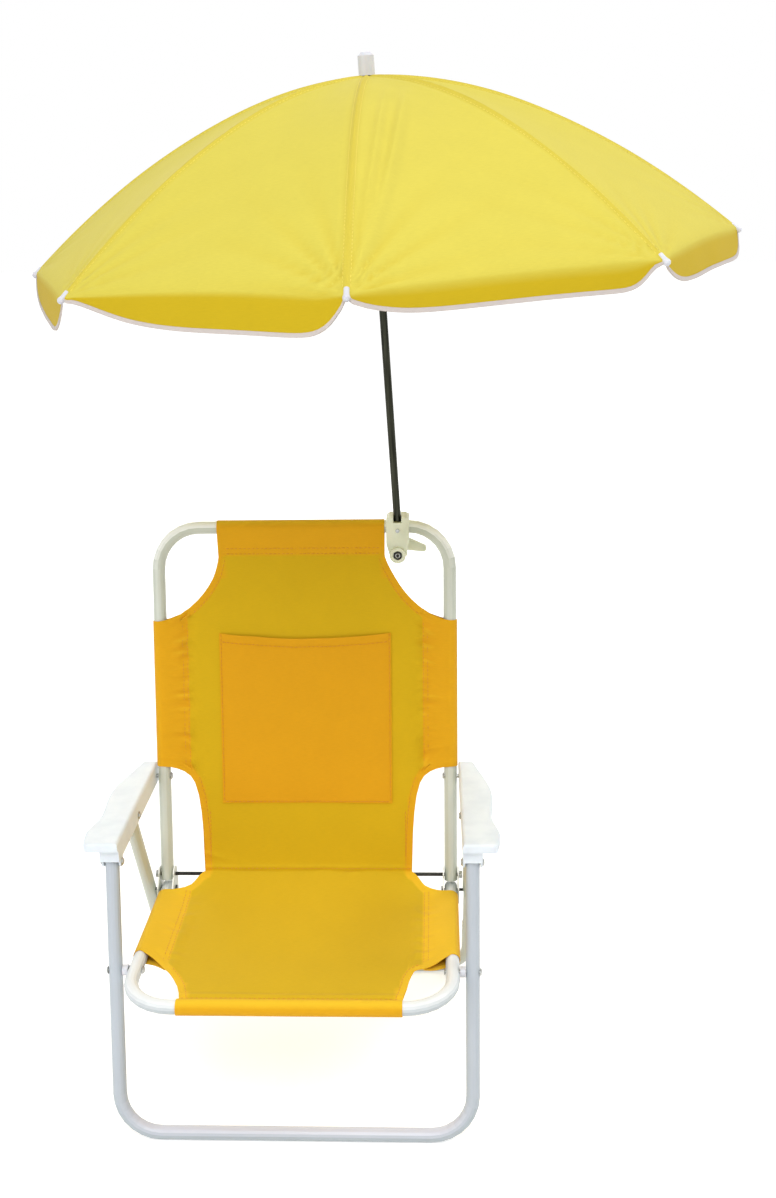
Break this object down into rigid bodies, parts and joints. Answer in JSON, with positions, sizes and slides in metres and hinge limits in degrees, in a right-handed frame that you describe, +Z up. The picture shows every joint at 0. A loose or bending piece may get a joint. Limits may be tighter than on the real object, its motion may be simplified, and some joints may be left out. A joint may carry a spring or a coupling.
{
  "type": "folding beach chair with umbrella",
  "caption": "Child-size folding beach chair of bent tube with fabric back and seat slings, a back pocket, moulded armrests and an umbrella clamped to the top of its back.",
  "frame": {"origin": "on the floor, under the middle of the front floor bar", "axes": "+Z up; the chair faces -Y; +X is at the right of someone who looks at its front"},
  "size_m": [0.6975, 0.6982, 1.0242],
  "materials": {
    "frame_paint": "gloss white powder coat",
    "arm_plastic": "satin moulded white",
    "clamp_plastic": "satin moulded ivory",
    "hub_plastic": "satin moulded white",
    "zinc_steel": "zinc plated",
    "dark_steel": "dark plated",
    "bright_steel": "bright plated",
    "back_fabric": "plain-woven polyester",
    "seat_fabric": "plain-woven polyester",
    "pocket_fabric": "plain-woven polyester",
    "canopy_fabric": "thin taffeta with an off-white bound hem"
  },
  "bodies": {
    "seat": {"seat_frame": "frame_paint", "seat_sling": "seat_fabric", "hinge_bracket_left": "frame_paint", "hinge_bracket_right": "frame_paint", "hinge_rod": "dark_steel", "rod_nut_left": "zinc_steel", "rod_nut_right": "zinc_steel", "seat_pivot_rivet_left": "zinc_steel", "seat_pivot_rivet_right": "zinc_steel", "seat_pivot_spacer_left": "hub_plastic", "seat_pivot_spacer_right": "hub_plastic", "slot_pin_left": "dark_steel", "slot_pin_right": "dark_steel"},
    "back": {"back_frame": "frame_paint", "back_sling": "back_fabric", "back_pocket": "pocket_fabric"},
    "arms": {"armrest_left": "arm_plastic", "armrest_right": "arm_plastic", "arm_front_rivet_left": "zinc_steel", "arm_front_rivet_right": "zinc_steel", "arm_rear_rivet_left": "zinc_steel", "arm_rear_rivet_right": "zinc_steel", "rear_leg_rivet_left": "zinc_steel", "rear_leg_rivet_right": "zinc_steel"},
    "front_legs": {"front_leg_frame": "frame_paint"},
    "rear_legs": {"rear_leg_frame": "frame_paint"},
    "clamp": {"clamp_body": "clamp_plastic", "clamp_jaw": "clamp_plastic", "clamp_bolt": "dark_steel", "pole_set_screw": "zinc_steel"},
    "lever": {"clamp_lever": "clamp_plastic"},
    "umbrella": {"pole": "bright_steel", "umbrella_crown": "hub_plastic", "finial": "hub_plastic", "canopy": "canopy_fabric"},
    "runner": {"runner": "hub_plastic"},
    "rib_1": {"rib_1": "bright_steel"},
    "rib_2": {"rib_2": "bright_steel"},
    "rib_3": {"rib_3": "bright_steel"},
    "rib_4": {"rib_4": "bright_steel"},
    "rib_5": {"rib_5": "bright_steel"},
    "rib_6": {"rib_6": "bright_steel"},
    "rib_7": {"rib_7": "bright_steel"},
    "rib_8": {"rib_8": "bright_steel"},
    "stretcher_1": {"stretcher_1": "dark_steel"},
    "stretcher_2": {"stretcher_2": "dark_steel"},
    "stretcher_3": {"stretcher_3": "dark_steel"},
    "stretcher_4": {"stretcher_4": "dark_steel"},
    "stretcher_5": {"stretcher_5": "dark_steel"},
    "stretcher_6": {"stretcher_6": "dark_steel"},
    "stretcher_7": {"stretcher_7": "dark_steel"},
    "stretcher_8": {"stretcher_8": "dark_steel"}
  },
  "joints": [
    {"name": "back_fold", "type": "hinge", "parent": "seat", "child": "back", "pos_m": [0, 0.21262, 0.17525], "axis": [1, 0, 0], "range_deg": [0, 92]},
    {"name": "arm_level", "type": "hinge", "parent": "back", "child": "arms", "pos_m": [0, 0.24171, 0.28381], "axis": [1, 0, 0], "range_deg": [-92, 0]},
    {"name": "front_leg_fold", "type": "hinge", "parent": "seat", "child": "front_legs", "pos_m": [0, 0.04441, 0.17255], "axis": [1, 0, 0], "range_deg": [0, 92]},
    {"name": "rear_leg_fold", "type": "hinge", "parent": "arms", "child": "rear_legs", "pos_m": [0, 0.15151, 0.287], "axis": [1, 0, 0], "range_deg": [0, 54.1]},
    {"name": "clamp_swing", "type": "hinge", "parent": "back", "child": "clamp", "pos_m": [0.1034, 0.31317, 0.55051], "axis": [1, 0, 0], "range_deg": [-20, 30]},
    {"name": "lever_turn", "type": "hinge", "parent": "clamp", "child": "lever", "pos_m": [0.1034, 0.31317, 0.52781], "axis": [0, 1, 0], "range_deg": [-60, 60]},
    {"name": "pole_slide", "type": "slide", "parent": "clamp", "child": "umbrella", "axis": [-0.0506, 0.0221, 0.9985], "range_m": [0, 0.018]},
    {"name": "runner_slide", "type": "slide", "parent": "umbrella", "child": "runner", "axis": [0.0506, -0.0221, -0.9985], "range_m": [0, 0.2236], "deforming": ["canopy"]},
    {"name": "rib_1_fold", "type": "hinge", "parent": "umbrella", "child": "rib_1", "pos_m": [0.08095, 0.28915, 0.99988], "axis": [0.9983, -0.0272, 0.0512], "range_deg": [0, 60]},
    {"name": "rib_2_fold", "type": "hinge", "parent": "umbrella", "child": "rib_2", "pos_m": [0.08988, 0.29257, 1.00026], "axis": [0.7259, 0.6874, 0.0215], "range_deg": [0, 60]},
    {"name": "rib_3_fold", "type": "hinge", "parent": "umbrella", "child": "rib_3", "pos_m": [0.09379, 0.3013, 1.00026], "axis": [0.0283, 0.9994, -0.0207], "range_deg": [0, 60]},
    {"name": "rib_4_fold", "type": "hinge", "parent": "umbrella", "child": "rib_4", "pos_m": [0.09038, 0.31023, 0.99989], "axis": [-0.6859, 0.7259, -0.0508], "range_deg": [0, 60]},
    {"name": "rib_5_fold", "type": "hinge", "parent": "umbrella", "child": "rib_5", "pos_m": [0.08166, 0.31413, 0.99936], "axis": [-0.9983, 0.0272, -0.0512], "range_deg": [0, 60]},
    {"name": "rib_6_fold", "type": "hinge", "parent": "umbrella", "child": "rib_6", "pos_m": [0.07273, 0.31072, 0.99899], "axis": [-0.7259, -0.6874, -0.0215], "range_deg": [0, 60]},
    {"name": "rib_7_fold", "type": "hinge", "parent": "umbrella", "child": "rib_7", "pos_m": [0.06883, 0.30198, 0.99898], "axis": [-0.0283, -0.9994, 0.0207], "range_deg": [0, 60]},
    {"name": "rib_8_fold", "type": "hinge", "parent": "umbrella", "child": "rib_8", "pos_m": [0.07223, 0.29305, 0.99935], "axis": [0.6859, -0.7259, 0.0508], "range_deg": [0, 60]},
    {"name": "stretcher_1_fold", "type": "hinge", "parent": "rib_1", "child": "stretcher_1", "pos_m": [0.08153, 0.13577, 0.96276], "axis": [0.9983, -0.0272, 0.0512], "range_deg": [-120, 0]},
    {"name": "stretcher_2_fold", "type": "hinge", "parent": "rib_2", "child": "stretcher_2", "pos_m": [0.1986, 0.18293, 0.96764], "axis": [0.7259, 0.6874, 0.0215], "range_deg": [-120, 0]},
    {"name": "stretcher_3_fold", "type": "hinge", "parent": "rib_3", "child": "stretcher_3", "pos_m": [0.24816, 0.2991, 0.96758], "axis": [0.0283, 0.9994, -0.0207], "range_deg": [-120, 0]},
    {"name": "stretcher_4_fold", "type": "hinge", "parent": "rib_4", "child": "stretcher_4", "pos_m": [0.20118, 0.41624, 0.9626], "axis": [-0.6859, 0.7259, -0.0508], "range_deg": [-120, 0]},
    {"name": "stretcher_5_fold", "type": "hinge", "parent": "rib_5", "child": "stretcher_5", "pos_m": [0.08518, 0.46572, 0.95563], "axis": [-0.9983, 0.0272, -0.0512], "range_deg": [-120, 0]},
    {"name": "stretcher_6_fold", "type": "hinge", "parent": "rib_6", "child": "stretcher_6", "pos_m": [-0.03189, 0.41856, 0.95074], "axis": [-0.7259, -0.6874, -0.0215], "range_deg": [-120, 0]},
    {"name": "stretcher_7_fold", "type": "hinge", "parent": "rib_7", "child": "stretcher_7", "pos_m": [-0.08145, 0.30239, 0.95081], "axis": [-0.0283, -0.9994, 0.0207], "range_deg": [-120, 0]},
    {"name": "stretcher_8_fold", "type": "hinge", "parent": "rib_8", "child": "stretcher_8", "pos_m": [-0.03447, 0.18525, 0.95579], "axis": [0.6859, -0.7259, 0.0508], "range_deg": [-120, 0]}
  ],
  "couplings": [
    {"joint": "arm_level", "follows": "back_fold", "ratio": -1},
    {"joint": "front_leg_fold", "follows": "back_fold", "ratio": 1},
    {"joint": "rear_leg_fold", "follows": "back_fold", "ratio": 0.587},
    {"joint": "rib_1_fold", "follows": "runner_slide", "rad_per_m": 4.6824},
    {"joint": "rib_2_fold", "follows": "runner_slide", "rad_per_m": 4.6824},
    {"joint": "rib_3_fold", "follows": "runner_slide", "rad_per_m": 4.6824},
    {"joint": "rib_4_fold", "follows": "runner_slide", "rad_per_m": 4.6824},
    {"joint": "rib_5_fold", "follows": "runner_slide", "rad_per_m": 4.6824},
    {"joint": "rib_6_fold", "follows": "runner_slide", "rad_per_m": 4.6824},
    {"joint": "rib_7_fold", "follows": "runner_slide", "rad_per_m": 4.6824},
    {"joint": "rib_8_fold", "follows": "runner_slide", "rad_per_m": 4.6824},
    {"joint": "stretcher_1_fold", "follows": "runner_slide", "rad_per_m": -9.3648},
    {"joint": "stretcher_2_fold", "follows": "runner_slide", "rad_per_m": -9.3648},
    {"joint": "stretcher_3_fold", "follows": "runner_slide", "rad_per_m": -9.3648},
    {"joint": "stretcher_4_fold", "follows": "runner_slide", "rad_per_m": -9.3648},
    {"joint": "stretcher_5_fold", "follows": "runner_slide", "rad_per_m": -9.3648},
    {"joint": "stretcher_6_fold", "follows": "runner_slide", "rad_per_m": -9.3648},
    {"joint": "stretcher_7_fold", "follows": "runner_slide", "rad_per_m": -9.3648},
    {"joint": "stretcher_8_fold", "follows": "runner_slide", "rad_per_m": -9.3648}
  ]
}
